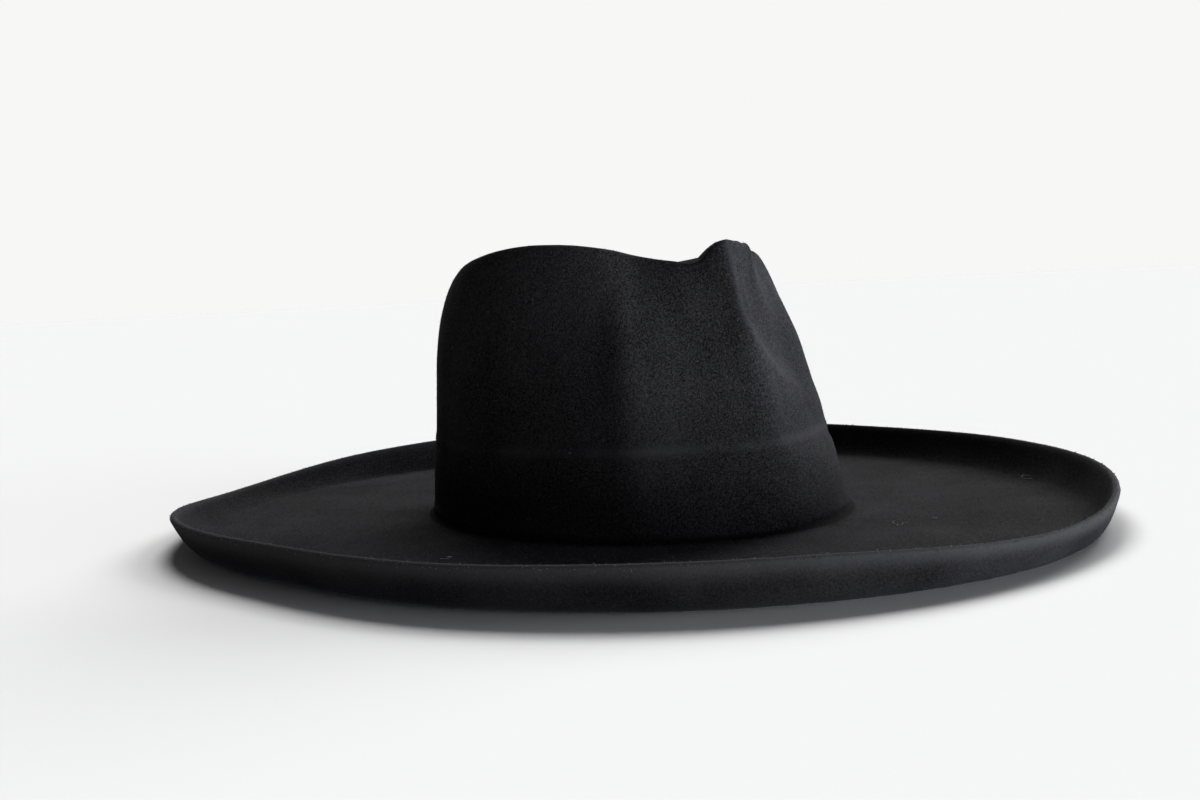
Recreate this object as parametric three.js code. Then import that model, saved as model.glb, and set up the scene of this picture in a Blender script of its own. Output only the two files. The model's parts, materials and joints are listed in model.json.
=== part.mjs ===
// A wide-brimmed felt hat with a pinched, teardrop-dented crown and a rolled-up brim edge.
// One piece of pressed felt, hollow under the crown. Millimetres, +Z up.
// The front of the hat looks along -Y and the wearer's left is +X. Z = 0 is the floor it rests on.
import * as THREE from 'three';

// Driving dimensions
const feltThickness = 2.8;
const crownHalfLength = 100.5; // outside of the crown at the brim, front to back
const crownHalfWidth = 84.5;
const flareReach = 2.5; // how far the foot of the crown spreads into the brim
const flareHeight = 6;
const bandMarkLow = 30; // the wall steps in a little between these heights above the brim
const bandMarkHigh = 38;
const rimTilt = 2; // the crown's rim is this much higher on the right and lower on the left
const dentFloor = 88; // floor of the top dent above the brim
const dentSlope = 0.62; // share of the way from the rim to the middle that slopes down
const edgeRound = 0.35; // bulge of the cut edge, in felt thicknesses
const facetPull = 0.2; // share of a shoulder taken up by its bends, on a pinched facet
const shoulderPull = 0.55; // and on a full round shoulder
const ridgeTurn = -5; // angle of the ridge between the two front pinches
const pinchDepth = 3; // extra depth of the pinch on the left
const pinchSpan = 50; // degrees from its crease to where it fades out
const pinchFoot = 42; // the extra depth grows from here
const pinchLow = 66; // up to here
const pinchHigh = 96; // and fades again from here
const pinchTop = 114; // up to here

// Half of the crown, from the ridge (0 degrees) round to the back (180). The other half mirrors it.
// Only the height column counts its angles from the middle of the front instead.
// reach and height place the rim of the top dent, breakHeight is where the wall turns in to the rim,
// round is 0 for a straight pinched facet and 1 for a full shoulder, lean is how far the wall
// comes in up to breakHeight, and step is the depth of the band mark.
const crownSections = [
  { at: 0, reach: 65.5, height: 115, breakHeight: 89, round: 0.05, lean: 24.5, step: 1.5 },
  { at: 8, reach: 63, height: 115, breakHeight: 75, round: 0.05, lean: 23.5, step: 1.5 },
  { at: 16, reach: 59.5, height: 106.5, breakHeight: 64, round: 0.05, lean: 21, step: 1.5 },
  { at: 25, reach: 55.5, height: 107, breakHeight: 57, round: 0.05, lean: 17.5, step: 1.5 },
  { at: 34, reach: 53, height: 108.5, breakHeight: 56, round: 0.05, lean: 13.5, step: 1.5 },
  { at: 42, reach: 54, height: 110, breakHeight: 57, round: 0.1, lean: 10.5, step: 1.5 },
  { at: 50, reach: 57, height: 112, breakHeight: 56, round: 0.3, lean: 11, step: 1.5 },
  { at: 66, reach: 61, height: 114.5, breakHeight: 60.5, round: 0.55, lean: 10, step: 1.5 },
  { at: 86, reach: 65.5, height: 115, breakHeight: 64.5, round: 0.75, lean: 8, step: 1 },
  { at: 112, reach: 69.5, height: 111.5, breakHeight: 64.5, round: 0.9, lean: 5.5, step: 1 },
  { at: 145, reach: 73, height: 105.5, breakHeight: 65, round: 1, lean: 3.5, step: 1 },
  { at: 180, reach: 76.5, height: 108.5, breakHeight: 72, round: 1, lean: 2, step: 1 },
];

// The pinch on the wearer's left is pressed in deeper. At each height above the brim it
// starts at this angle, with a crease, and fades out round the side.
const pinchSections = [
  { height: 46, start: 23 },
  { height: 60, start: 7.5 },
  { height: 75, start: -3 },
  { height: 86, start: -6.5 },
  { height: 118, start: -6 },
];

// The brim all the way round, in degrees from the front towards the wearer's left.
// reach is the plan radius of its edge, rise the height of the edge and curl the width of the roll.
const brimSections = [
  { at: 0, reach: 205, rise: 12.5, curl: 6 },
  { at: 30, reach: 199.5, rise: 16.5, curl: 7.5 },
  { at: 60, reach: 191.5, rise: 17.5, curl: 10 },
  { at: 90, reach: 187.5, rise: 17.5, curl: 11 },
  { at: 120, reach: 197, rise: 18, curl: 10.5 },
  { at: 150, reach: 202, rise: 18.5, curl: 9.5 },
  { at: 180, reach: 203.5, rise: 16, curl: 9 },
  { at: 210, reach: 201.5, rise: 11, curl: 9.5 },
  { at: 240, reach: 198, rise: 16, curl: 11.5 },
  { at: 270, reach: 186, rise: 17.5, curl: 13.5 },
  { at: 300, reach: 191, rise: 17.5, curl: 13 },
  { at: 330, reach: 197.5, rise: 17, curl: 10 },
];

// Rings of the felt's upper face, from the middle of the dent out to the brim's edge
const dentRings = [0.14, 0.3, 0.44, 0.58, 0.72, 0.86];
const shoulderRings = [1, 0.86, 0.7, 0.5, 0.3, 0.14, 0];
const wallHeights = [50, 38, 34, 30, 18, 6, 3, 1];
const flatRings = [0, 0.06, 0.35, 0.65, 0.92, 1];
const curlRings = [0.3, 0.5, 0.68, 0.84, 1];
const frontColumns = 44; // columns across the front of the crown, where the pinches are
const backColumns = 40;
const frontHalfAngle = 70;

const toRadians = THREE.MathUtils.degToRad;
const smooth = (low, high, value) => THREE.MathUtils.smoothstep(value, low, high);

// Smooth curve through one column of a table whose rows have rising angles
function curveThrough(rows, column) {
  const last = rows.length - 1;
  const slope = (index) => {
    const low = Math.max(index - 1, 0);
    const high = Math.min(index + 1, last);
    return (rows[high][column] - rows[low][column]) / (rows[high].at - rows[low].at);
  };
  return (angle) => {
    let index = 0;
    while (index < last - 1 && angle > rows[index + 1].at) index += 1;
    const start = rows[index];
    const end = rows[index + 1];
    const span = end.at - start.at;
    const t = (angle - start.at) / span;
    const startWeight = (1 + 2 * t) * (1 - t) * (1 - t);
    const startTangent = t * (1 - t) * (1 - t) * span;
    const endTangent = -t * t * (1 - t) * span;
    return startWeight * start[column] + (1 - startWeight) * end[column]
      + startTangent * slope(index) + endTangent * slope(index + 1);
  };
}

// Rows before 0 and after 180 degrees repeat the table as a mirror image
function mirroredColumn(column) {
  const before = { ...crownSections[1], at: -crownSections[1].at };
  const beyond = crownSections[crownSections.length - 2];
  const after = { ...beyond, at: 360 - beyond.at };
  const curve = curveThrough([before, ...crownSections, after], column);
  const turn = column === 'height' ? 0 : ridgeTurn;
  return (degrees) => {
    const turned = (degrees - turn + 360) % 360;
    return curve(Math.min(turned, 360 - turned));
  };
}

// The brim's table runs on past both ends, so that the ring closes without a kink
function ringColumn(column) {
  const first = brimSections[0];
  const second = brimSections[1];
  const lastRow = brimSections[brimSections.length - 1];
  const closed = [
    { ...lastRow, at: lastRow.at - 360 },
    ...brimSections,
    { ...first, at: 360 },
    { ...second, at: second.at + 360 },
  ];
  return curveThrough(closed, column);
}

const crown = {};
for (const column of ['reach', 'height', 'breakHeight', 'round', 'lean', 'step']) {
  crown[column] = mirroredColumn(column);
}
const brim = {};
for (const column of ['reach', 'rise', 'curl']) {
  brim[column] = ringColumn(column);
}

// Plan radius of the oval where the crown meets the brim
function ovalRadius(angle) {
  return 1 / Math.hypot(Math.cos(angle) / crownHalfLength, Math.sin(angle) / crownHalfWidth);
}

function rimHeight(degrees) {
  return crown.height(degrees) - rimTilt * Math.sin(toRadians(degrees));
}

// Straight from row to row through the table of the left pinch
function pinchStart(height) {
  const clamped = THREE.MathUtils.clamp(height, pinchSections[0].height, pinchSections[4].height);
  const index = pinchSections.findIndex((row, place) => place > 0 && clamped <= row.height);
  const low = pinchSections[index - 1];
  const high = pinchSections[index];
  const share = (clamped - low.height) / (high.height - low.height);
  return THREE.MathUtils.lerp(low.start, high.start, share);
}

// How far the left pinch is pressed in: steep at its crease, then easing out over its span
function pinchInset(degrees, height) {
  const signed = degrees > 180 ? degrees - 360 : degrees;
  const share = THREE.MathUtils.clamp((signed - pinchStart(height)) / pinchSpan, 0, 1);
  const fade = smooth(pinchFoot, pinchLow, height) - smooth(pinchHigh, pinchTop, height);
  return pinchDepth * 6.75 * share * (1 - share) ** 2 * fade;
}

// Each of these gives a radius and a height above the brim, at an angle in degrees
function dentPoint(degrees, outward) {
  const drop = smooth(0, dentSlope, 1 - outward);
  const rim = rimHeight(degrees);
  const reach = crown.reach(degrees) - pinchInset(degrees, rim);
  return [reach * outward, rim + (dentFloor - rim) * drop];
}

function plainWall(degrees, height) {
  const rise = height / crown.breakHeight(degrees);
  const step = crown.step(degrees) * smooth(bandMarkLow, bandMarkHigh, height);
  const foot = flareReach * Math.max(1 - height / flareHeight, 0) ** 2;
  return [ovalRadius(toRadians(degrees)) - crown.lean(degrees) * rise - step + foot, height];
}

function wallPoint(degrees, height) {
  const [radius, level] = plainWall(degrees, height);
  return [radius - pinchInset(degrees, level), level];
}

function shoulderPoint(degrees, t) {
  const low = new THREE.Vector2(...plainWall(degrees, crown.breakHeight(degrees)));
  const top = new THREE.Vector2(crown.reach(degrees), rimHeight(degrees));
  const pull = THREE.MathUtils.lerp(facetPull, shoulderPull, crown.round(degrees));
  const climb = pull * (top.y - low.y);
  const lowPull = new THREE.Vector2(-crown.lean(degrees) / crown.breakHeight(degrees), 1);
  const curve = new THREE.CubicBezierCurve(
    low,
    low.clone().addScaledVector(lowPull, climb),
    new THREE.Vector2(top.x + pull * (low.x - top.x), top.y),
    top,
  );
  const point = curve.getPoint(t);
  return [point.x - pinchInset(degrees, point.y), point.y];
}

function flatPoint(degrees, outward) {
  const inner = ovalRadius(toRadians(degrees)) + flareReach;
  const outer = brim.reach(degrees) - brim.curl(degrees);
  return [THREE.MathUtils.lerp(inner, outer, outward), 0];
}

function curlPoint(degrees, outward) {
  const radius = brim.reach(degrees) - brim.curl(degrees) * (1 - outward);
  return [radius, (brim.rise(degrees) - feltThickness) * outward ** 2];
}

const rings = [
  ...dentRings.map((value) => (degrees) => dentPoint(degrees, value)),
  ...shoulderRings.map((value) => (degrees) => shoulderPoint(degrees, value)),
  ...wallHeights.map((value) => (degrees) => wallPoint(degrees, value)),
  ...flatRings.map((value) => (degrees) => flatPoint(degrees, value)),
  ...curlRings.map((value) => (degrees) => curlPoint(degrees, value)),
];

// Columns run round from the front, closer together across the pinched front
function columnAngles() {
  const angles = [];
  for (let index = 0; index < frontColumns; index += 1) {
    angles.push(-frontHalfAngle + (2 * frontHalfAngle * index) / frontColumns);
  }
  for (let index = 0; index < backColumns; index += 1) {
    angles.push(frontHalfAngle + ((360 - 2 * frontHalfAngle) * index) / backColumns);
  }
  return angles.map((angle) => (angle + 360) % 360);
}

const angles = columnAngles();
const columnCount = angles.length;

function placed([radius, height], degrees) {
  const angle = toRadians(degrees);
  return new THREE.Vector3(
    radius * Math.sin(angle),
    -radius * Math.cos(angle),
    height + feltThickness,
  );
}

// The upper face is worked out from the sections, and the under face lies one thickness below it
function feltFaces() {
  const upper = rings.map((ring) => angles.map((degrees) => placed(ring(degrees), degrees)));
  const under = upper.map((row, ringIndex) => row.map((point, column) => {
    const before = row[(column + columnCount - 1) % columnCount];
    const after = row[(column + 1) % columnCount];
    const inward = upper[Math.max(ringIndex - 1, 0)][column];
    const outward = upper[Math.min(ringIndex + 1, upper.length - 1)][column];
    const along = after.clone().sub(before);
    const across = outward.clone().sub(inward);
    const normal = across.cross(along).normalize();
    return point.clone().addScaledVector(normal, -feltThickness);
  }));
  return { upper, under };
}

function cutEdge(upper, under) {
  const last = upper.length - 1;
  return upper[last].map((point, column) => {
    const outward = point.clone().sub(upper[last - 1][column]).normalize();
    const middle = point.clone().lerp(under[last][column], 0.5);
    return middle.addScaledVector(outward, edgeRound * feltThickness);
  });
}

function feltBody() {
  const { upper, under } = feltFaces();
  const centreTop = new THREE.Vector3(0, 0, dentFloor + feltThickness);
  const centreUnder = new THREE.Vector3(0, 0, dentFloor);
  // One chain of rings: down the upper face, over the cut edge and back along the under face
  const chain = [...upper, cutEdge(upper, under), ...under.reverse()];
  const points = [centreTop, ...chain.flat(), centreUnder];
  const lastPoint = points.length - 1;
  const pointAt = (ring, column) => 1 + ring * columnCount + (column % columnCount);
  const triangles = [];
  for (let column = 0; column < columnCount; column += 1) {
    triangles.push(0, pointAt(0, column), pointAt(0, column + 1));
    for (let ring = 0; ring < chain.length - 1; ring += 1) {
      const near = pointAt(ring, column);
      const nearNext = pointAt(ring, column + 1);
      const far = pointAt(ring + 1, column);
      const farNext = pointAt(ring + 1, column + 1);
      triangles.push(near, far, farNext, near, farNext, nearNext);
    }
    const lastRing = chain.length - 1;
    triangles.push(lastPoint, pointAt(lastRing, column + 1), pointAt(lastRing, column));
  }
  const geometry = new THREE.BufferGeometry().setFromPoints(points);
  geometry.setIndex(triangles);
  geometry.computeVertexNormals();
  geometry.computeBoundingBox();
  return geometry;
}

const blackFelt = new THREE.MeshStandardMaterial({
  name: 'black_felt',
  color: 0x17161a,
  roughness: 0.95,
  metalness: 0,
});

const hat = new THREE.Group();
const feltGeometry = feltBody();
const felt = new THREE.Mesh(feltGeometry, blackFelt);
felt.name = 'felt_body';
// The origin is under the middle of the whole hat
const middle = feltGeometry.boundingBox.getCenter(new THREE.Vector3());
felt.position.set(-middle.x, -middle.y, 0);
hat.add(felt);

export default hat;
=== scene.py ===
import json
import math

import bpy
import numpy as np
from mathutils import Matrix, Vector, noise

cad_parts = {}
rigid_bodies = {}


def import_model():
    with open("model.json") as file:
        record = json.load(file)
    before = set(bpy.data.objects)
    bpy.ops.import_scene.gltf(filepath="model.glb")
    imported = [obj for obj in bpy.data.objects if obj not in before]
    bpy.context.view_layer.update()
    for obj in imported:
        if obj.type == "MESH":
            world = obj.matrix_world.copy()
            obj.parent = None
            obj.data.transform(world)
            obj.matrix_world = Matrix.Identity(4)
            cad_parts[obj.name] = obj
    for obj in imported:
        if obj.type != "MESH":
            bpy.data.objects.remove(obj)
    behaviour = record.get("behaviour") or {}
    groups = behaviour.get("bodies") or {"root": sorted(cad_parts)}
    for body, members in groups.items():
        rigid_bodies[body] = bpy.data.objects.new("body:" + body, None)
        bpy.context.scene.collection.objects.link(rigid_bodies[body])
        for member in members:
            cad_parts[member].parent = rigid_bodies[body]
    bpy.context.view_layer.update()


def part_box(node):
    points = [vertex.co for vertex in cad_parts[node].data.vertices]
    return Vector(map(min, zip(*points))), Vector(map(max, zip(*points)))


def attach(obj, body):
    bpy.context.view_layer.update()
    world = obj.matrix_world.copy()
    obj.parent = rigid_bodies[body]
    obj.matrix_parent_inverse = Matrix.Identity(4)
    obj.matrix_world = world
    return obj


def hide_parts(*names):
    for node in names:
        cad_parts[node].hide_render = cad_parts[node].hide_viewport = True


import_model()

mm = 0.001
print("frame loaded")


# Wraps one socket of a node tree, so that maths on values reads as plain expressions
class Wire:
    def __init__(self, tree, socket=None):
        self.tree = tree
        self.socket = socket

    # Any node: its type, its settings, then the values or links of its sockets
    def node(self, kind, settings=None, sockets=None, output=0):
        made = self.tree.nodes.new("ShaderNode" + kind)
        for name, value in (settings or {}).items():
            setattr(made, name, value)
        for name, value in (sockets or {}).items():
            self.plug(made.inputs[name], value)
        return Wire(self.tree, made.outputs[output]) if made.outputs else None

    def plug(self, entry, value):
        if isinstance(value, Wire):
            self.tree.links.new(value.socket, entry)
        else:
            entry.default_value = value

    def calculate(self, operation, first, second):
        return self.node("Math", {"operation": operation}, {0: first, 1: second})

    def __add__(self, other):
        return self.calculate("ADD", self, other)

    def __radd__(self, other):
        return self.calculate("ADD", other, self)

    def __sub__(self, other):
        return self.calculate("SUBTRACT", self, other)

    def __rsub__(self, other):
        return self.calculate("SUBTRACT", other, self)

    def __mul__(self, other):
        return self.calculate("MULTIPLY", self, other)

    def __rmul__(self, other):
        return self.calculate("MULTIPLY", other, self)

    def below(self, other):
        return self.calculate("LESS_THAN", self, other)

    def most(self, other):
        return self.calculate("MAXIMUM", self, other)

    # Sockets 6 and 7 and output 2 are the ones that a Mix node has for colours
    def blend(self, low, high):
        sockets = {"Factor": self, 6: low, 7: high}
        return self.node("Mix", {"data_type": "RGBA"}, sockets, 2)

    def stretched(self, scale):
        return self.node("VectorMath", {"operation": "MULTIPLY"}, {0: self, 1: scale})


def newMaterial(name):
    material = bpy.data.materials.new(name)
    material.use_nodes = True
    material.node_tree.nodes.clear()
    return material, Wire(material.node_tree)


def newObject(name, points, faces, smooth=True):
    mesh = bpy.data.meshes.new(name)
    mesh.from_pydata(points, [], faces)
    mesh.validate()
    if smooth:
        mesh.polygons.foreach_set("use_smooth", [True] * len(mesh.polygons))
    made = bpy.data.objects.new(name, mesh)
    bpy.context.scene.collection.objects.link(made)
    return made


# Pressed felt: a dense mat of fibres under a short nap
feltFinish = {
    "deepColour": (0.0029, 0.0029, 0.0032, 1),
    "napColour": (0.0272, 0.0272, 0.0286, 1),
    "edgeColour": (0.034, 0.034, 0.035, 1),
    "creaseShadeColour": (0.0012, 0.0012, 0.0014, 1),
    "highlightColour": (0.028, 0.028, 0.0295, 1),
    "lintColour": (0.20, 0.21, 0.24, 1),
    # Fibres lie three ways. Sizes are in millimetres, contrasts are around the middle values.
    "fibreWidth": 0.42,
    "fibreLength": 3.2,
    "fibreNoise": {"Scale": 1, "Detail": 2, "Roughness": 0.55, "Distortion": 0.6},
    "fibreSeeds": (3, 17, 41),
    "fibreMiddle": 0.58,
    "fibreContrast": 2.3,
    "grainSize": 0.75,
    "grainNoise": {"Detail": 4, "Roughness": 0.65},
    "grainMiddle": 0.5,
    "grainContrast": 2.4,
    "patchSize": 38,
    "patchNoise": {"Detail": 3, "Roughness": 0.5},
    "patchMiddle": 0.5,
    "patchContrast": 0.7,
    "napLevel": 0.42,
    # The outside of the rolled edge is smoother than the rest, and painted darker as shade
    "outsideSmooth": 0.6,
    "outsideShade": 0.14,
    # Pale and dark marks: a painted highlight shows in patches on the band welt and all along the
    # crest of the pinch, and painted shade sits in the crease at the foot
    "bandHighlightContrast": 2.4,
    "bandHighlightStart": 0.85,
    "crestHighlightStrength": 0.45,
    "creaseShadeStrength": 0.8,
    "edgePale": 0.55,
    "edgeGrain": 0.6,
    "lintPale": 0.8,
    "lintSpacing": 9,
    "lintSize": 0.22,
    "lintShare": 0.12,
    "fibreRelief": 0.6,
    "grainRelief": 0.4,
    "bumpHeight": 0.2,
    "bumpStrength": 0.55,
    "roughness": 0.93,
    "sheenWeight": 0.01,
    "sheenRoughness": 0.3,
    "sheenTint": (0.86, 0.88, 1, 1),
    "specularLevel": 0.01,
}


def feltMaterial(name, finish):
    material, tree = newMaterial(name)
    place = tree.node("TexCoord", output="Object")
    across = 1 / (finish["fibreWidth"] * mm)
    along = 1 / (finish["fibreLength"] * mm)

    def fibres(scale, seed):
        spot = place.stretched(scale)
        spot = spot.node("VectorMath", {"operation": "ADD"}, {0: spot, 1: (seed, seed, seed)})
        return tree.node("TexNoise", {}, {"Vector": spot} | finish["fibreNoise"])

    def speckle(size, settings):
        return tree.node("TexNoise", {}, {"Vector": place, "Scale": 1 / (size * mm)} | settings)

    def mask(attribute):
        return tree.node("Attribute", {"attribute_name": attribute}, {}, "Fac")

    first, second, third = finish["fibreSeeds"]
    mat = fibres((along, across, across), first)
    mat = mat.most(fibres((across, along, across), second))
    mat = mat.most(fibres((across, across, along), third))
    grain = speckle(finish["grainSize"], finish["grainNoise"])
    patches = speckle(finish["patchSize"], finish["patchNoise"])
    outside = mask("outside")
    level = (mat - finish["fibreMiddle"]) * finish["fibreContrast"]
    level = level + (grain - finish["grainMiddle"]) * finish["grainContrast"]
    level = level * (1 - outside * finish["outsideSmooth"])
    level = level + (patches - finish["patchMiddle"]) * finish["patchContrast"] + finish["napLevel"]
    # Painted shade: the outside of the rolled edge is made darker
    level = level - outside * finish["outsideShade"]
    napLevel = level.node("Clamp", {}, {"Value": level})
    colour = napLevel.blend(finish["deepColour"], finish["napColour"])
    # Painted highlight: pale patches on the band welt, where its ridge would catch light
    bandHighlight = mask("bandWeltHighlight") * (patches * finish["bandHighlightContrast"] - finish["bandHighlightStart"])
    # Painted highlight: a pale line along the crest of the pinch
    paintedHighlight = bandHighlight.most(mask("crestHighlight") * finish["crestHighlightStrength"])
    colour = paintedHighlight.blend(colour, finish["highlightColour"])
    # Painted shade in the crease at the crown's foot
    colour = (mask("crease") * finish["creaseShadeStrength"]).blend(colour, finish["creaseShadeColour"])
    edge = mask("cutEdge") * (finish["edgePale"] + grain * finish["edgeGrain"])
    colour = edge.blend(colour, finish["edgeColour"])
    lintSockets = {"Vector": place, "Scale": 1 / (finish["lintSpacing"] * mm), "Randomness": 1}
    lint = tree.node("TexVoronoi", {}, lintSockets)
    chance = tree.node("TexVoronoi", {}, lintSockets, "Color")
    chance = chance.node("SeparateColor", {}, {"Color": chance})
    speck = lint.below(finish["lintSize"] / finish["lintSpacing"]) * chance.below(finish["lintShare"])
    colour = (speck * finish["lintPale"]).blend(colour, finish["lintColour"])
    bumpSockets = {
        "Strength": finish["bumpStrength"],
        "Distance": finish["bumpHeight"] * mm,
        "Height": mat * finish["fibreRelief"] + grain * finish["grainRelief"],
    }
    bump = tree.node("Bump", {}, bumpSockets)
    shaderSockets = {
        "Base Color": colour,
        "Roughness": finish["roughness"],
        "Specular IOR Level": finish["specularLevel"],
        "Sheen Weight": finish["sheenWeight"],
        "Sheen Roughness": finish["sheenRoughness"],
        "Sheen Tint": finish["sheenTint"],
        "Normal": bump,
    }
    shader = tree.node("BsdfPrincipled", {}, shaderSockets)
    tree.node("OutputMaterial", {}, {"Surface": shader})
    return material


# The hat: crown, brim and rolled edge are one piece of felt. Millimetres and degrees,
# heights above the top of the brim, angles from the front towards the wearer's left.
hat = {
    "feltThickness": 2.8,
    "crownHalfLength": 100.5,
    "crownHalfWidth": 84.5,
    "flareReach": 2.5,
    "flareHeight": 6,
    "bandMarkLow": 26,
    "bandMarkHigh": 33,
    # The welt over the band mark and the crease at the foot: size, height and spread
    "welt": (0.45, 34.5, 2.1),
    "crease": (1.1, 1.8, 1.1),
    "rimTilt": 2,
    "dentFloor": 88,
    "dentSlope": 0.62,
    "edgeRound": 0.35,
    "ridgeTurn": -5,
    "pinchDepth": 3,
    "pinchSpan": 50,
    "pinchFoot": 42,
    "pinchLow": 66,
    "pinchHigh": 96,
    "pinchTop": 114,
    "facetPull": 0.2,
    "shoulderPull": 0.55,
    "tipSoftness": 3,
    # Left of the tip the rim stays higher, from the first pair of angles to the second
    "leftRise": 5.2,
    "leftRiseFrom": (6, 13),
    "leftRiseTo": (22, 46),
    # It also stands further out there, and eases down from the tip: size, angle and spread
    "leftReach": (3.2, 16, 8),
    "tipEase": (1.8, 9, 4),
    "frontColumns": 270,
    "backColumns": 166,
    "frontHalfAngle": 70,
    "waves": 0.4,
    "waveLength": 46,
    "ripples": 0.12,
    "rippleLength": 9,
    # Rings of the mesh, from the middle of the dent down the wall and out over the brim
    "dentRings": 20,
    "dentMiddle": 0.04,
    "shoulderRings": 22,
    "wallRings": 9,
    "wallFoot": 44,
    "bandLevels": (42.5, 41, 40, 39, 38, 37, 36, 35, 34, 33, 32, 30.5, 28, 24),
    "footLevels": (19, 14, 9, 6, 4.5, 3.5, 2.8, 2.2, 1.6, 1, 0.5, 0.2),
    "flatRings": 15,
    "flatCrowding": 1.15,
    "curlRings": 13,
    "edgeRings": (0.12, 0.3, 0.5, 0.7, 0.88),
    "edgeFullness": 0.6,
    # How far the nap is rubbed pale beside the cut edge, ring by ring: inside, then outside
    "paleInside": (0.75, 0.25),
    "paleOutside": (0.75, 0.5, 0.22, 0.06),
    # The painted shade line in the crease at the crown's foot: height and spread
    "creaseShadeLine": (1, 1.2),
    # The painted highlight along the crest of the pinch: its angle from the crest and its spread, and
    # the heights where it begins and where it is full
    "crestHighlightPlace": (0.5, 1.6),
    "crestHighlightHeights": (52, 66),
    # Marks for the wall stop this far inside the ridge, and those for the foot inside its flare
    "wallMargin": 1,
    "footMargin": 0.1,
}

crownColumns = ("at", "reach", "height", "breakHeight", "round", "lean", "step")
crownRows = (
    (0, 65.5, 115, 89, 0.05, 24.5, 1.5),
    (8, 63, 115, 75, 0.05, 23.5, 1.5),
    (16, 59.5, 106.5, 64, 0.05, 21, 1.5),
    (25, 55.5, 107, 57, 0.05, 17.5, 1.5),
    (34, 53, 108.5, 56, 0.05, 13.5, 1.5),
    (42, 54, 110, 57, 0.1, 10.5, 1.5),
    (50, 57, 112, 56, 0.3, 11, 1.5),
    (66, 61, 114.5, 60.5, 0.55, 10, 1.5),
    (86, 65.5, 115, 64.5, 0.75, 8, 1),
    (112, 69.5, 111.5, 64.5, 0.9, 5.5, 1),
    (145, 73, 105.5, 65, 1, 3.5, 1),
    (180, 76.5, 108.5, 72, 1, 2, 1),
)

# The pinch on the wearer's left is pressed in deeper, from this angle on at each height
pinchColumns = ("height", "start")
pinchRows = (
    (46, 23),
    (60, 7.5),
    (75, -3),
    (86, -6.5),
    (118, -6),
)

brimColumns = ("at", "reach", "rise", "curl")
brimRows = (
    (0, 205, 12.5, 6),
    (30, 199.5, 16.5, 7.5),
    (60, 191.5, 17.5, 10),
    (90, 187.5, 17.5, 11),
    (120, 197, 18, 10.5),
    (150, 202, 18.5, 9.5),
    (180, 203.5, 16, 9),
    (210, 201.5, 11, 9.5),
    (240, 198, 16, 11.5),
    (270, 186, 17.5, 13.5),
    (300, 191, 17.5, 13),
    (330, 197.5, 17, 10),
)


def smooth(low, high, value):
    t = np.clip((value - low) / (high - low), 0, 1)
    return t * t * (3 - 2 * t)


# Smooth curve through one column of a table, read at all the angles at once
def curveThrough(at, values, angles):
    slopes = np.zeros(len(at))
    slopes[1:-1] = (values[2:] - values[:-2]) / (at[2:] - at[:-2])
    index = np.clip(np.searchsorted(at, angles, side="right") - 1, 1, len(at) - 3)
    span = at[index + 1] - at[index]
    t = (angles - at[index]) / span
    startWeight = (1 + 2 * t) * (1 - t) ** 2
    tangents = t * (1 - t) ** 2 * slopes[index] - t ** 2 * (1 - t) * slopes[index + 1]
    return startWeight * values[index] + (1 - startWeight) * values[index + 1] + tangents * span


def crownCurves(degrees):
    rows = np.array(crownRows, float)
    before = rows[1] * 1
    before[0] = -before[0]
    after = rows[-2] * 1
    after[0] = 360 - after[0]
    rows = np.vstack([before, rows, after])
    found = {}
    for index, name in enumerate(crownColumns):
        turned = (degrees - (0 if name == "height" else hat["ridgeTurn"])) % 360
        folded = np.minimum(turned, 360 - turned)
        found[name] = curveThrough(rows[:, 0], rows[:, index], folded)
    return found


def brimCurves(degrees):
    rows = np.array(brimRows, float)
    turn = np.zeros(rows.shape)
    turn[:, 0] = 360
    rows = np.vstack([rows - turn, rows, rows + turn])
    pairs = enumerate(brimColumns)
    return {name: curveThrough(rows[:, 0], rows[:, i], degrees) for i, name in pairs}


def columnAngles():
    half = hat["frontHalfAngle"]
    front = np.linspace(-half, half, hat["frontColumns"], endpoint=False)
    back = np.linspace(half, 360 - half, hat["backColumns"], endpoint=False)
    return np.concatenate([front, back]) % 360


degrees = columnAngles()
turns = np.radians(degrees)
crown = crownCurves(degrees)
brim = brimCurves(degrees)
oval = 1 / np.hypot(np.cos(turns) / hat["crownHalfLength"], np.sin(turns) / hat["crownHalfWidth"])
signedDegrees = (degrees + 180) % 360 - 180


# Felt rounds over at the tip, so the height of the rim is evened out from column to column
def evened(values):
    side = 2 * hat["tipSoftness"]
    weights = np.exp(-0.5 * (np.arange(-side, side + 1) / hat["tipSoftness"]) ** 2)
    padded = np.concatenate([values[-side:], values, values[:side]])
    return np.convolve(padded, weights / weights.sum(), "valid")


def bulge(value, middle, spread):
    return np.exp(-((value - middle) / spread) ** 2)


leftRise = smooth(*hat["leftRiseFrom"], signedDegrees) - smooth(*hat["leftRiseTo"], signedDegrees)
crown["reach"] += hat["leftReach"][0] * bulge(signedDegrees, *hat["leftReach"][1:])
tipEase = hat["tipEase"][0] * bulge(signedDegrees, *hat["tipEase"][1:])
rimHeight = evened(crown["height"] + hat["leftRise"] * leftRise - tipEase)
rimHeight = rimHeight - hat["rimTilt"] * np.sin(turns)


def pinchStart(height):
    table = dict(zip(pinchColumns, np.array(pinchRows).T))
    return np.interp(height, table["height"], table["start"])


# The factor 27 / 4 brings the highest point of share * (1 - share) ** 2 to 1
def pinchDepth(height):
    share = np.clip((signedDegrees - pinchStart(height)) / hat["pinchSpan"], 0, 1)
    fade = smooth(hat["pinchFoot"], hat["pinchLow"], height)
    fade = fade - smooth(hat["pinchHigh"], hat["pinchTop"], height)
    return hat["pinchDepth"] * 27 / 4 * share * (1 - share) ** 2 * fade


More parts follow.
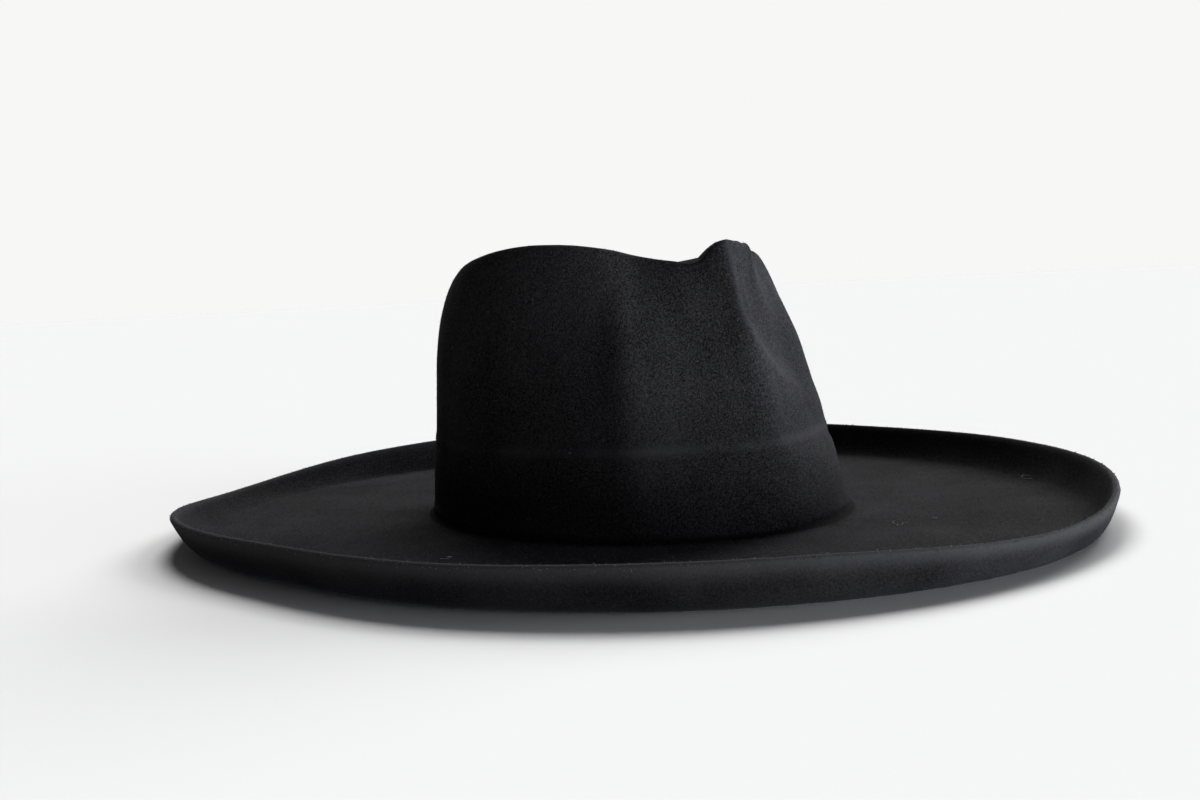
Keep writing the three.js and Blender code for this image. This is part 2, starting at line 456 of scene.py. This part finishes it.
# Each of these gives the radius and the height of one ring, at every angle
def dentRing(outward):
    drop = smooth(0, hat["dentSlope"], 1 - outward)
    radius = (crown["reach"] - pinchDepth(rimHeight)) * outward
    return radius, rimHeight + (hat["dentFloor"] - rimHeight) * drop


def plainWall(height):
    rise = height / crown["breakHeight"]
    step = crown["step"] * smooth(hat["bandMarkLow"], hat["bandMarkHigh"], height)
    foot = hat["flareReach"] * np.maximum(1 - height / hat["flareHeight"], 0) ** 2
    foot = foot - hat["crease"][0] * bulge(height, *hat["crease"][1:])
    welt = hat["welt"][0] * bulge(height, *hat["welt"][1:])
    radius = oval - crown["lean"] * rise - step + foot + welt
    return radius, height * np.ones(len(oval))


def wallRing(height):
    radius, level = plainWall(height)
    return radius - pinchDepth(level), level


def shoulderRing(t):
    lowX, lowY = plainWall(crown["breakHeight"])
    topX, topY = crown["reach"], rimHeight
    pull = hat["facetPull"] + (hat["shoulderPull"] - hat["facetPull"]) * crown["round"]
    climb = pull * (topY - lowY)
    firstX = lowX - climb * crown["lean"] / crown["breakHeight"]
    firstY = lowY + climb
    secondX = topX + pull * (lowX - topX)
    weights = ((1 - t) ** 3, 3 * t * (1 - t) ** 2, 3 * t ** 2 * (1 - t), t ** 3)
    radius = weights[0] * lowX + weights[1] * firstX + weights[2] * secondX + weights[3] * topX
    height = weights[0] * lowY + weights[1] * firstY + (weights[2] + weights[3]) * topY
    return radius - pinchDepth(height), height


def flatRing(outward):
    inner = oval + hat["flareReach"]
    outer = brim["reach"] - brim["curl"]
    return inner + (outer - inner) * outward, np.zeros(len(oval))


def curlRing(outward):
    radius = brim["reach"] - brim["curl"] * (1 - outward)
    return radius, (brim["rise"] - hat["feltThickness"]) * outward ** 2


def upperFace():
    dent = np.linspace(hat["dentMiddle"], 1, hat["dentRings"], endpoint=False)
    rings = [dentRing(value) for value in dent]
    rings += [shoulderRing(value) for value in np.linspace(1, 0, hat["shoulderRings"])]
    foot = hat["wallFoot"]
    wall = np.linspace(1, 0, hat["wallRings"] + 1)[1:]
    rings += [wallRing(foot + (crown["breakHeight"] - foot) * value) for value in wall]
    rings += [wallRing(value) for value in hat["bandLevels"] + hat["footLevels"]]
    flat = np.linspace(0, 1, hat["flatRings"]) ** hat["flatCrowding"]
    rings += [flatRing(value) for value in flat]
    rings += [curlRing(value) for value in np.linspace(0, 1, hat["curlRings"] + 1)[1:]]
    height = hat["feltThickness"]
    return np.array([
        np.stack([radius * np.sin(turns), -radius * np.cos(turns), level + height], 1)
        for radius, level in rings
    ])


# Small hand-made unevenness, the same on both faces
def unevenness(points):
    soft = hat["waves"]
    fine = hat["ripples"]
    found = np.zeros(points.shape[:2])
    for ring, row in enumerate(points):
        for column, point in enumerate(row):
            spot = Vector(point)
            wave = noise.noise(spot / hat["waveLength"])
            ripple = noise.noise(spot / hat["rippleLength"])
            found[ring, column] = soft * wave + fine * ripple
    return found


def outwardNormals(points):
    along = np.roll(points, -1, 1) - np.roll(points, 1, 1)
    across = np.empty_like(points)
    across[1:-1] = points[2:] - points[:-2]
    across[0] = points[1] - points[0]
    across[-1] = points[-1] - points[-2]
    normals = np.cross(across, along)
    return normals / np.linalg.norm(normals, axis=2, keepdims=True)


def feltBody():
    upper = upperFace()
    normals = outwardNormals(upper)
    uneven = unevenness(upper)[:, :, None]
    under = upper - normals * hat["feltThickness"]
    upper = upper + normals * uneven
    under = under + normals * uneven
    under[:, :, 2] = np.maximum(under[:, :, 2], 0)
    # The cut edge is a small round between the two faces
    outward = upper[-1] - upper[-2]
    outward /= np.linalg.norm(outward, axis=1, keepdims=True)
    roundOut = hat["edgeRound"] * hat["feltThickness"]
    edge = []
    for share in hat["edgeRings"]:
        reach = roundOut * math.sin(math.pi * share) ** hat["edgeFullness"]
        edge.append(upper[-1] + (under[-1] - upper[-1]) * share + outward * reach)
    chain = np.concatenate([upper, edge, under[::-1]])
    ringCount, columnCount = chain.shape[:2]
    top = chain[0].mean(0)
    bottom = chain[-1].mean(0)
    points = np.vstack([top, chain.reshape(-1, 3), bottom])
    last = len(points) - 1
    faces = []
    for column in range(columnCount):
        beside = (column + 1) % columnCount
        faces.append((0, 1 + column, 1 + beside))
        for ring in range(ringCount - 1):
            near = 1 + ring * columnCount
            far = near + columnCount
            faces.append((near + column, far + column, far + beside, near + beside))
        end = 1 + (ringCount - 1) * columnCount
        faces.append((last, end + beside, end + column))
    # The hat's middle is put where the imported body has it
    low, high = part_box("felt_body")
    middle = (points.min(0) + points.max(0)) / 2
    shift = np.array([(low[0] + high[0]) / 2, (low[1] + high[1]) / 2, 0])
    centre = shift - middle * mm * (1, 1, 0)
    points = points * mm + centre
    # Masks for the material: one value for each point of each ring
    edgeStart = len(upper)
    edgeEnd = edgeStart + len(edge)
    names = ("cutEdge", "bandWeltHighlight", "crease", "crestHighlight", "outside")
    masks = {name: np.zeros(chain.shape[:2]) for name in names}
    masks["cutEdge"][edgeStart:edgeEnd] = 1
    for ring, share in enumerate(hat["paleInside"]):
        masks["cutEdge"][edgeStart - 1 - ring] = share
    for ring, share in enumerate(hat["paleOutside"]):
        masks["cutEdge"][edgeEnd + ring] = share
    masks["outside"][edgeStart:] = 1
    above = upper[:, :, 2] - hat["feltThickness"]
    distance = np.hypot(upper[:, :, 0], upper[:, :, 1])
    onWall = distance > crown["reach"] - hat["wallMargin"]
    onFoot = distance < oval + hat["flareReach"] - hat["footMargin"]
    # Painted highlight over the band welt
    masks["bandWeltHighlight"][:edgeStart] = bulge(above, *hat["welt"][1:]) * onWall
    # Painted shade in the crease at the crown's foot
    masks["crease"][:edgeStart] = bulge(above, *hat["creaseShadeLine"]) * onFoot
    # Painted highlight along the crest of the pinch
    crestHighlight = bulge(signedDegrees - pinchStart(above), *hat["crestHighlightPlace"])
    masks["crestHighlight"][:edgeStart] = crestHighlight * smooth(*hat["crestHighlightHeights"], above) * onWall
    masks = {name: np.concatenate([[0], values.ravel(), [0]]) for name, values in masks.items()}
    return points, faces, masks, chain * mm + centre, edgeStart, centre


points, faces, masks, feltGrid, edgeStart, crownCentre = feltBody()
body = newObject("felt_hat", points.tolist(), faces)
for name, values in masks.items():
    attribute = body.data.attributes.new(name, "FLOAT", "POINT")
    attribute.data.foreach_set("value", values)
body.data.materials.append(feltMaterial("black_felt_nap", feltFinish))
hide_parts("felt_body")
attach(body, "root")
print("hat body:", len(points), "points,", 2 * len(faces), "triangles at most")


# Fine fibres that stand off the felt: most on the faces that show, and more on the cut edge
nap = {
    # How many, how long and how wide they are, and how far they lean over
    "face": (25000, 1.3, 0.11, 1.1),
    "edge": (7500, 1, 0.28, 2.2),
    # Rings that carry the fibres of the cut edge, counted from its first
    "edgeRings": (-2, 6),
    "seed": 11,
    "shortest": 0.4,
    "lengthSpread": 0.9,
    "rootDepth": 0.3,
    "widestAt": 0.35,
    "colour": (0.03, 0.03, 0.034, 1),
    "paleColour": (0.1, 0.1, 0.112, 1),
    "shadeScale": 900,
    "roughness": 0.8,
    "specularLevel": 0.05,
}


# Loose fibres: their colour changes a little from one to the next
def fibreMaterial(name, finish):
    material, tree = newMaterial(name)
    place = tree.node("TexCoord", output="Object")
    shade = tree.node("TexNoise", {}, {"Vector": place, "Scale": finish["shadeScale"], "Detail": 1})
    sockets = {
        "Base Color": shade.blend(finish["colour"], finish["paleColour"]),
        "Roughness": finish["roughness"],
        "Specular IOR Level": finish["specularLevel"],
    }
    shader = tree.node("BsdfPrincipled", {}, sockets)
    tree.node("OutputMaterial", {}, {"Surface": shader})
    return material


# Picks spots on the given rings of the felt, more where its faces are larger
def spotsOn(rings, count, dice):
    first = rings[:-1]
    beside = np.roll(first, -1, 1)
    below = rings[1:]
    normals = np.cross(below - first, beside - first)
    sizes = np.linalg.norm(normals, axis=2)
    picked = dice.choice(sizes.size, count, p=sizes.ravel() / sizes.sum())
    ring, column = np.unravel_index(picked, sizes.shape)
    across, along = dice.random((2, count, 1))
    spots = first[ring, column] + across * (beside - first)[ring, column]
    spots = spots + along * (below - first)[ring, column]
    return spots, normals[ring, column] / sizes[ring, column][:, None]


# A fibre is a thin closed spindle: root, three points at its widest place, and tip
def spindles(rings, kind, dice):
    count, longest, width, lean = nap[kind]
    spots, normals = spotsOn(rings, count, dice)
    loose = dice.normal(size=(count, 3)) * lean
    direction = normals + loose - (loose * normals).sum(1, keepdims=True) * normals
    direction /= np.linalg.norm(direction, axis=1, keepdims=True)
    share = nap["shortest"] + nap["lengthSpread"] * dice.random((count, 1))
    length = longest * mm * share
    root = spots - normals * nap["rootDepth"] * mm
    side = np.cross(direction, dice.normal(size=(count, 3)))
    side /= np.linalg.norm(side, axis=1, keepdims=True)
    other = np.cross(direction, side)
    middle = root + direction * length * nap["widestAt"]
    corners = [root]
    for turn in (0, 120, 240):
        spread = math.cos(math.radians(turn)) * side + math.sin(math.radians(turn)) * other
        corners.append(middle + spread * width * mm / 2)
    corners.append(root + direction * length)
    return np.stack(corners, 1)


def addNap():
    dice = np.random.default_rng(nap["seed"])
    first, last = nap["edgeRings"]
    onFaces = spindles(feltGrid[:edgeStart], "face", dice)
    onEdge = spindles(feltGrid[edgeStart + first:edgeStart + last], "edge", dice)
    fibres = np.vstack([onFaces, onEdge])
    pattern = np.array([(0, 2, 1), (0, 3, 2), (0, 1, 3), (4, 1, 2), (4, 2, 3), (4, 3, 1)])
    triangles = (np.arange(len(fibres)) * 5)[:, None, None] + pattern
    points = fibres.reshape(-1, 3).tolist()
    made = newObject("felt_nap", points, triangles.reshape(-1, 3).tolist(), False)
    made.data.materials.append(fibreMaterial("nap_fibre", nap))
    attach(made, "root")
    print("nap:", len(fibres), "fibres")


addNap()


# Bits of fluff on the brim: each is one fibre in a curling path
fluff = {
    # Angle, distance from the crown's middle, size and turn of each
    "bits": ((9, 128, 2.8, 20), (52, 184, 3.6, 130), (-80, 126, 2.4, 250), (16, 136, 1.6, 80)),
    "width": 0.28,
    "steps": 40,
    "loops": 0.85,
    "clearance": 0.15,
    # Its reach swings around a middle share of its size, this many times in a turn
    "reach": 0.75,
    "swing": 0.35,
    "swings": 3.1,
    # It rises and falls like a cosine that runs this far, and less towards its end
    "rise": 0.6,
    "riseRun": 7,
    "riseFade": 0.5,
    # Share of the width that is left at the ends, and how far the taper runs past them
    "endWidth": 0.25,
    "endPast": 0.04,
    "colour": (0.11, 0.112, 0.115, 1),
    "paleColour": (0.2, 0.203, 0.208, 1),
    "shadeScale": 1500,
    "roughness": 0.8,
    "specularLevel": 0.05,
}


def fluffPath(angle, distance, size, turn):
    place = Vector((math.sin(math.radians(angle)), -math.cos(math.radians(angle)), 0)) * distance
    place.z = hat["feltThickness"] + fluff["clearance"]
    path = []
    for step in range(fluff["steps"] + 1):
        share = step / fluff["steps"]
        bend = math.radians(turn + 360 * fluff["loops"] * share)
        reach = size * (fluff["reach"] + fluff["swing"] * math.sin(fluff["swings"] * bend + size))
        wave = 0.5 - 0.5 * math.cos(fluff["riseRun"] * share + size)
        lift = fluff["rise"] * size * wave * (1 - fluff["riseFade"] * share)
        path.append(place + Vector((math.cos(bend) * reach, math.sin(bend) * reach, lift)))
    return path


# A tube with four sides and closed ends along the path
def fluffTube(path, first):
    points = []
    faces = []
    past = fluff["endPast"]
    for step, spot in enumerate(path):
        ahead = path[min(step + 1, len(path) - 1)] - path[max(step - 1, 0)]
        side = ahead.cross(Vector((0, 0, 1))).normalized()
        top = side.cross(ahead).normalized()
        taper = math.sin(math.pi * (past + (1 - 2 * past) * step / fluff["steps"]))
        half = fluff["width"] / 2 * (fluff["endWidth"] + (1 - fluff["endWidth"]) * taper)
        points += [spot + side * half, spot + top * half, spot - side * half, spot - top * half]
        if step:
            near = first + 4 * (step - 1)
            for corner in range(4):
                beside = (corner + 1) % 4
                faces.append((near + corner, near + beside, near + 4 + beside, near + 4 + corner))
    last = first + 4 * fluff["steps"]
    faces += [(first + 3, first + 2, first + 1, first), (last, last + 1, last + 2, last + 3)]
    return points, faces


def addFluff():
    points = []
    faces = []
    for bit in fluff["bits"]:
        more, sides = fluffTube(fluffPath(*bit), len(points))
        points += [spot * mm + Vector(crownCentre) for spot in more]
        faces += sides
    made = newObject("brim_fluff", points, faces)
    made.data.materials.append(fibreMaterial("pale_fluff", fluff))
    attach(made, "root")
    print("fluff:", len(fluff["bits"]), "bits")


addFluff()


# Floor and light
studio = {
    "floorSize": 40,
    "floorColour": (0.605, 0.605, 0.602, 1),
    "floorShade": 0.99,
    "floorGrain": 600,
    "floorRoughness": 0.9,
    "backdrop": (0.93, 0.93, 0.925, 1),
    "skyColour": (0.08, 0.08, 0.083, 1),
    # Each lamp: strength, width, heading and height
    "backLamp": (3.6, 30, 45, 48),
    "sideLamp": (3.2, 30, 78, 30),
    "lowLamp": (8.6, 34, 136, -7),
    "lowLampColour": (0.98, 1, 1.09),
    "frontLamp": (3.6, 50, 168, -8),
    "frontLampColour": (0.98, 1, 1.09),
}


def floorMaterial():
    material, tree = newMaterial("floor_paper")
    place = tree.node("TexCoord", output="Object")
    grain = tree.node("TexNoise", {}, {"Vector": place, "Scale": studio["floorGrain"], "Detail": 3})
    shaded = [value * studio["floorShade"] for value in studio["floorColour"][:3]] + [1]
    colour = grain.blend(shaded, studio["floorColour"])
    sockets = {"Base Color": colour, "Roughness": studio["floorRoughness"], "Specular IOR Level": 0}
    shader = tree.node("BsdfPrincipled", {}, sockets)
    tree.node("OutputMaterial", {}, {"Surface": shader})
    return material


def addFloor():
    half = studio["floorSize"] / 2
    corners = [(-half, -half, 0), (half, -half, 0), (half, half, 0), (-half, half, 0)]
    floor = newObject("floor", corners, [(0, 1, 2, 3)], False)
    floor.data.materials.append(floorMaterial())
    floor.visible_shadow = False  # two lamps light the rolled edge from below, through the floor


# The camera sees a pale backdrop, and the hat is lit by a dimmer sky
def addWorld():
    world = bpy.data.worlds.new("studio")
    bpy.context.scene.world = world
    world.use_nodes = True
    world.node_tree.nodes.clear()
    tree = Wire(world.node_tree)
    seen = tree.node("LightPath", output="Is Camera Ray")
    sky = tree.node("Background", {}, {"Color": studio["skyColour"], "Strength": 1})
    backdrop = tree.node("Background", {}, {"Color": studio["backdrop"], "Strength": 1})
    mixed = tree.node("MixShader", {}, {0: seen, 1: sky, 2: backdrop})
    tree.node("OutputWorld", {}, {"Surface": mixed})


# heading is where the light comes from, clockwise from the back of the hat as seen from above
def addSun(name):
    strength, width, heading, height = studio[name]
    lamp = bpy.data.lights.new(name, "SUN")
    lamp.energy = strength
    lamp.color = studio.get(name + "Colour", (1, 1, 1))
    lamp.angle = math.radians(width)
    made = bpy.data.objects.new(name, lamp)
    bpy.context.scene.collection.objects.link(made)
    turn = math.radians(heading)
    rise = math.radians(height)
    source = Vector((math.sin(turn) * math.cos(rise), math.cos(turn) * math.cos(rise), math.sin(rise)))
    made.rotation_mode = "QUATERNION"
    made.rotation_quaternion = source.to_track_quat("Z", "Y")


addFloor()
addWorld()
for lampName in ("backLamp", "sideLamp", "lowLamp", "frontLamp"):
    addSun(lampName)
bpy.context.scene.view_settings.view_transform = "Standard"

# Low three-quarter view of the front and the wearer's right side, placed from the crown's middle
camera = {
    "place": (-0.4117, -0.4123, 0.1016),
    "heading": 43.61,
    "pitch": -4.93,
    "roll": -2.9,
    "lens": 39,
    "sensorWidth": 36,
    "clip": (0.01, 100),
}


def addCamera():
    lens = bpy.data.cameras.new("camera")
    lens.sensor_width = camera["sensorWidth"]
    lens.lens = camera["lens"]
    lens.clip_start, lens.clip_end = camera["clip"]
    made = bpy.data.objects.new("camera", lens)
    bpy.context.scene.collection.objects.link(made)
    turned = Matrix.Rotation(math.radians(-camera["heading"]), 4, "Z")
    tipped = Matrix.Rotation(math.radians(90 + camera["pitch"]), 4, "X")
    rolled = Matrix.Rotation(math.radians(camera["roll"]), 4, "Z")
    place = Vector(camera["place"]) + Vector(crownCentre)
    made.matrix_world = Matrix.Translation(place) @ turned @ tipped @ rolled
    bpy.context.scene.camera = made


addCamera()
print("stage and camera ready")
